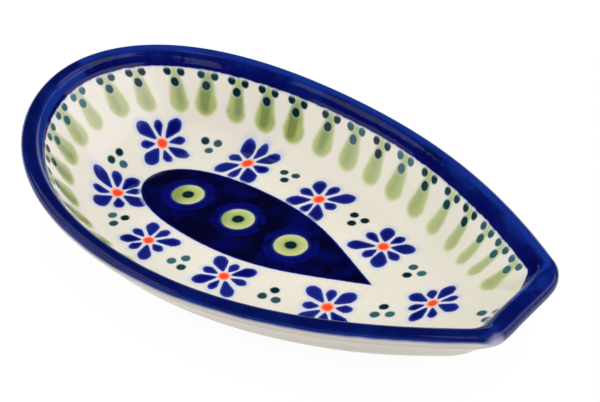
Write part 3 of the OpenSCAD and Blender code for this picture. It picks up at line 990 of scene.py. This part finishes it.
def read(items, name, width=1, kind=float):
    """One property of all of a mesh's items, as an array."""
    values = np.zeros(len(items) * width, kind)
    items.foreach_get(name, values)
    return values.reshape(-1, width) if width > 1 else values


def write_map(mesh, name, across, down):
    layer = mesh.uv_layers.new(name=name)
    layer.data.foreach_set("uv", np.stack([across, down], 1).astype(np.float32).ravel())


class StampMap:
    """A map in which each face belongs to its nearest stamp, and the stamps lie a cell apart."""

    def __init__(self, faces):
        self.gap = np.full(faces, FAR_OFF)
        self.number = np.zeros(faces, int)
        self.local = np.zeros((faces, 4, 2))

    def offer(self, number, gap, across, down):
        """Gives a stamp the faces that lie nearer to it than to those before it."""
        nearer = gap < self.gap
        self.gap[nearer], self.number[nearer] = gap[nearer], number
        self.local[nearer] = np.stack([across, down], 1).reshape(-1, 4, 2)[nearer]

    def write(self, mesh, name):
        across, down = self.local.reshape(-1, 2).T
        limit = CELL * 0.4
        cells = np.repeat(self.number, 4) * CELL
        write_map(mesh, name, np.clip(across, -limit, limit) + cells, down)


def wall_distances(points, stations, band_row, rim_row, sizes):
    """How far down its wall each point of the skin lies from the edge of the rim's blue."""
    steps = np.linalg.norm(np.diff(points, axis=0), axis=2)
    run = np.concatenate([np.zeros((1, len(stations))), np.cumsum(steps, axis=0)])
    band_shares, x_shares, end_shares = np.array([
        (
            np.interp(s.band, [s.band * RIM_OVERLAP_SHARE, s.wall], [0, 1]),
            s.point.x * 2 / sizes.rim_length,
            ease((s.v - END_BLUE_FROM_SHARE) / END_BLUE_RUN_SHARE),
        )
        for s in stations
    ]).T
    inner_edge = run[band_row] - band_shares * (run[band_row] - run[FLOOR_ROWS])
    blue_angle = mix(np.interp(x_shares, BLUE_SHARES, BLUE_ANGLES), END_BLUE_ANGLE, end_shares)
    outer_edge = run[rim_row] + np.radians(blue_angle - RIM_ANGLE) * sizes.lip_radius / MM
    is_outer = np.arange(len(points))[:, None] > rim_row - 2
    return np.where(is_outer, run - outer_edge, inner_edge - run)


def map_skin(skin, stations, band_row, rim_row, sizes, pattern):
    """Writes the skin's maps: the walls, the numbered drops, the numbered stamps and the leaf."""
    mesh, columns = skin.data, len(stations)
    flat = read(mesh.vertices, "co", 3) / MM
    down = wall_distances(flat.reshape(-1, columns, 3), stations, band_row, rim_row, sizes)
    vertex = read(mesh.loops, "vertex_index", 1, np.int64)
    column = vertex % columns
    side = np.where(column.reshape(-1, 4).min(1) < columns // 2, 1, -1)
    lip = np.array([station.way for station in stations]) / MM
    across, down = np.repeat(side, 4) * lip[column], down.ravel()[vertex]
    write_map(mesh, "Wall", across, down)

    drops = StampMap(len(side))
    places = [(share, 1, slant) for share, slant in zip(FAR_DROP_SHARES, FAR_SLANT_SHARES)]
    places += [(share, -1, NEAR_SLANT_SHARE) for share in NEAR_DROP_SHARES]
    for number, (share, way, slant) in enumerate(places):
        here = across - way * (lip.max() * share + slant * down)
        gap = np.abs(here.reshape(-1, 4).mean(1)) + np.where(side == way, 0, FAR_OFF / 2)
        drops.offer(number, gap, here, down)
    drops.write(mesh, "Drops")

    stamps = StampMap(len(side))
    normals = read(mesh.vertices, "normal", 3)
    outside = np.arange(len(flat)) // columns > band_row
    corners = flat[vertex]
    middles = corners.reshape(-1, 4, 3).mean(1)
    half = np.array([sizes.rim_length, sizes.rim_width]) / MM / 2
    flowers = zip(FLOWER_SHARES, FLOWER_TURNS, FLOWER_SIZE_SHARES)
    places = [(*flower, pattern.petal_reach) for flower in flowers]
    places += [(*trio, (1, 1), 2 * pattern.dot_reach) for trio in zip(TRIO_SHARES, TRIO_TURNS)]
    for number, (shares, degrees, stretch, size) in enumerate(places):
        centre = np.array(shares) * half
        nearest = (np.hypot(*(flat[:, :2] - centre).T) + outside * FAR_OFF).argmin()
        normal = normals[nearest] * np.sign(normals[nearest][2])
        heart = np.array([*centre, flat[nearest, 2]])
        turn = math.radians(degrees)
        first = np.array([math.cos(turn), math.sin(turn), 0])
        first -= normal * (first @ normal)
        first /= np.linalg.norm(first)
        second = np.cross(normal, first)
        offset = (corners - heart) / (*stretch, 1)
        gap = np.linalg.norm(middles - heart, axis=1) / size
        stamps.offer(number, gap, offset @ first, offset @ second)
    stamps.write(mesh, "Stamps")

    leaf = mesh.attributes.new("leaf", "FLOAT", "POINT")
    leaf.data.foreach_set("value", leaf_distance(flat[:, :2], pattern).astype(np.float32))


class SPOONREST_OT_dish(bpy.types.Operator):
    """Model the dish's skin and part it into the stamped bowl, the blue rim and the outer wall"""

    bl_idname = "spoonrest.dish"
    bl_label = "Dish"

    def execute(self, context):
        settings = context.scene.spoon_rest
        sizes, colours = settings.sizes, settings.colours
        pattern = in_millimetres(settings.pattern)
        stations = rim_stations(sizes)
        sections = [s.inside_rows() + s.lip_rows() + s.outside_rows() for s in stations]
        skin = swept_grid(DISH_COATS[0][0], stations, sections)
        band_row = FLOOR_ROWS + WALL_ROWS
        rim_row = band_row + BAND_ROWS + ARC_ROWS
        face_up(skin, True)
        map_skin(skin, stations, band_row, rim_row, sizes, pattern)
        zones = skin.data.attributes.new("zone", "INT", "FACE")
        row = np.arange(len(skin.data.polygons)) // (len(stations) - 1)
        zones.data.foreach_set("value", (row >= band_row).astype(np.int32) + (row >= rim_row))
        only(skin)
        edit(merge_doubles)
        coats = [skin]
        for zone, (name, _, _) in enumerate(DISH_COATS[1:], 1):
            coats.append(self.part_off(skin, zone, name))
        finishes = (bowl_finish(colours, pattern), rim_finish(colours), wall_finish(colours))
        for coat, (_, slot_name, node_names), finish in zip(coats, DISH_COATS, finishes):
            coat.data.attributes.remove(coat.data.attributes["zone"])
            stiffen(coat, sizes.glaze)
            settle(coat, node_names, finish)
        return {"FINISHED"}

    def part_off(self, skin, zone, name):
        """Separates one zone of the skin as its own piece."""
        only(skin)
        zones = read(skin.data.attributes["zone"].data, "value", 1, np.int32)
        edit(lambda: bpy.ops.mesh.select_mode(type="FACE"), "DESELECT")
        skin.data.polygons.foreach_set("select", zones == zone)
        edit(lambda: bpy.ops.mesh.separate(type="SELECTED"), None)
        piece = next(o for o in bpy.context.selected_objects if o != skin)
        piece.name = piece.data.name = name
        return piece


class SPOONREST_OT_underside(bpy.types.Operator):
    """Model the bare foot ring and the glazed base inside it"""

    bl_idname = "spoonrest.underside"
    bl_label = "Underside"

    def execute(self, context):
        settings = context.scene.spoon_rest
        sizes, colours = settings.sizes, settings.colours
        stations = rim_stations(sizes)
        # A torus has room for 256 segments, so the ring takes every second station
        self.foot(sizes, colours, stations[:-1:2])
        self.base(sizes, colours, stations)
        return {"FINISHED"}

    def foot(self, sizes, colours, stations):
        deselect()
        bpy.ops.mesh.primitive_torus_add(
            major_segments=len(stations),
            minor_segments=FOOT_SIDES,
            major_radius=sizes.rim_length / 2,
            minor_radius=sizes.foot_height / 2,
        )
        ring = context_piece("foot_ring_clay")
        points = []
        for station in stations:
            middle = station.lean + sizes.belly + sizes.foot_width / 2
            for k in range(FOOT_SIDES):
                a = 2 * math.pi * k / FOOT_SIDES
                across, up = (
                    math.copysign(abs(c) ** FOOT_ROUNDNESS, c) for c in (math.cos(a), math.sin(a))
                )
                w = middle - across * sizes.foot_width / 2
                points.append(station.set_down(w, sizes.foot_height * (1 + up) / 2))
        set_points(ring, points)
        only(ring)
        edit(lambda: bpy.ops.mesh.normals_make_consistent(inside=False))
        bpy.ops.object.shade_smooth_by_angle(angle=math.radians(50))
        settle(ring, ("foot_ring",), clay_finish("Bare clay", colours))

    def base(self, sizes, colours, stations):
        sections = []
        for station in stations:
            edge = station.lean + sizes.belly + sizes.foot_width
            end = station.lip_in + station.reach
            places = (*between(edge, end, BASE_ROWS), end)
            sections.append([(w, sizes.foot_height - sizes.glaze) for w in places])
        plate = swept_grid("base_glaze_coat", stations, sections)
        only(plate)
        edit(merge_doubles)
        face_up(plate, False)
        stiffen(plate, sizes.glaze)
        settle(plate, ("base_glaze",), base_finish(colours))


class SPOONREST_OT_clay(bpy.types.Operator):
    """Give the fired clay under the glaze its finish"""

    bl_idname = "spoonrest.clay"
    bl_label = "Clay body"

    def execute(self, context):
        finish = clay_finish("Stoneware", context.scene.spoon_rest.colours)
        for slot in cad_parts["stoneware_body"].material_slots:
            slot.material = finish
        return {"FINISHED"}


class SPOONREST_OT_studio(bpy.types.Operator):
    """Set up the floor, the soft lights, the room and the camera"""

    bl_idname = "spoonrest.studio"
    bl_label = "Studio"

    def execute(self, context):
        studio = context.scene.spoon_rest.studio
        self.camera(context, studio)
        self.floor()
        for name, facts in PANELS.items():
            self.panel(name.replace("_", " ").capitalize(), getattr(studio, name), *facts)
        self.room(context.scene, studio)
        context.scene.view_settings.view_transform = "Standard"
        return {"FINISHED"}

    def camera(self, context, studio):
        bpy.ops.object.camera_add()
        camera = context.object
        camera.data.lens = studio.lens
        camera.data.clip_start = 0.01
        level = Vector((math.sin(studio.turn), math.cos(studio.turn), 0))
        ahead = level * math.cos(studio.pitch) - Vector((0, 0, math.sin(studio.pitch)))
        camera.location = Vector(CAMERA_AIM) * MM - ahead * studio.distance
        camera.rotation_euler = ahead.to_track_quat("-Z", "Y").to_euler()
        context.scene.camera = camera

    def floor(self):
        """A pale floor that the camera and the gloss see as white, but for the object's shadow."""
        deselect()
        squares = {"x_subdivisions": FLOOR_SQUARES, "y_subdivisions": FLOOR_SQUARES}
        bpy.ops.mesh.primitive_grid_add(**squares, size=FLOOR_SIZE, location=(0, 0, 0))
        floor = context_piece("studio_floor")
        material = bpy.data.materials.new("Floor")
        finish = Finish(material, Roughness=0.6, Base_Color=FLOOR_COLOUR)
        glow = {"Color": (1, 1, 1, 1), "Strength": WHITE}
        white = finish.add("ShaderNodeEmission", None, glow)
        camera, gloss, glass = (
            finish.add("ShaderNodeLightPath", output=f"Is {kind} Ray")
            for kind in ("Camera", "Glossy", "Transmission")
        )
        seen = camera.most(gloss).most(glass) * WHITE_SHARE
        shader = finish.add("ShaderNodeMixShader", None, {0: seen}).socket.node
        surface = finish.find("OUTPUT_MATERIAL").inputs["Surface"]
        finish.tree.links.new(finish.shader.outputs[0], shader.inputs[1])
        finish.tree.links.new(white.socket, shader.inputs[2])
        finish.tree.links.new(shader.outputs[0], surface)
        floor.data.materials.append(material)

    def panel(self, name, brightness, place, size, tint, facing):
        """A soft panel that lights the dish and shows in its gloss."""
        degrees, away, height = place
        angle = math.radians(degrees)
        where = Vector((away * math.cos(angle), away * math.sin(angle), height))
        bpy.ops.object.light_add(type="AREA", location=where)
        lamp = context_piece(name)
        lamp.data.shape = "RECTANGLE"
        lamp.data.size, lamp.data.size_y = size
        lamp.data.energy = brightness * math.pi * size[0] * size[1]
        lamp.data.color = tint
        lamp.rotation_euler = Vector(facing or -where).to_track_quat("-Z", "Y").to_euler()
        lamp.visible_camera = False

    def room(self, scene, studio):
        """Soft light from all sides, which the gloss hardly shows."""
        scene.world = bpy.data.worlds.new("Room")
        room = Finish(scene.world, "BACKGROUND", Color=(1, 1, 1, 1))
        in_gloss = room.add("ShaderNodeLightPath", output="Is Glossy Ray")
        darker = studio.mirrored - studio.ambient
        room.set("Strength", in_gloss * darker + studio.ambient)


class SpoonRestSettings(bpy.types.PropertyGroup):
    """All settings of the spoon rest."""

    sizes: PointerProperty(type=DishSizes)
    pattern: PointerProperty(type=PatternSizes)
    colours: PointerProperty(type=PatternColours)
    studio: PointerProperty(type=StudioSettings)


class SPOONREST_PT_panel(bpy.types.Panel):
    """Lists the steps that build the spoon rest and its settings"""

    bl_idname = "SPOONREST_PT_panel"
    bl_label = "Spoon Rest"
    bl_space_type = "VIEW_3D"
    bl_region_type = "UI"
    bl_category = "Spoon Rest"

    def draw(self, context):
        for step in STEPS:
            self.layout.operator(step.bl_idname)
        for group in ("sizes", "pattern", "colours", "studio"):
            settings = getattr(context.scene.spoon_rest, group)
            box = self.layout.box()
            for name in settings.__annotations__:
                box.prop(settings, name)


STEPS = (SPOONREST_OT_dish, SPOONREST_OT_underside, SPOONREST_OT_clay, SPOONREST_OT_studio)
CLASSES = (
    DishSizes, PatternSizes, PatternColours, StudioSettings, SpoonRestSettings, *STEPS,
    SPOONREST_PT_panel,
)


def register():
    for cls in CLASSES:
        bpy.utils.register_class(cls)
    bpy.types.Scene.spoon_rest = PointerProperty(type=SpoonRestSettings)


def unregister():
    del bpy.types.Scene.spoon_rest
    for cls in reversed(CLASSES):
        bpy.utils.unregister_class(cls)


def main():
    register()
    bpy.ops.spoonrest.dish()
    bpy.ops.spoonrest.underside()
    bpy.ops.spoonrest.clay()
    bpy.ops.spoonrest.studio()
    deselect()


if __name__ == "__main__":
    main()
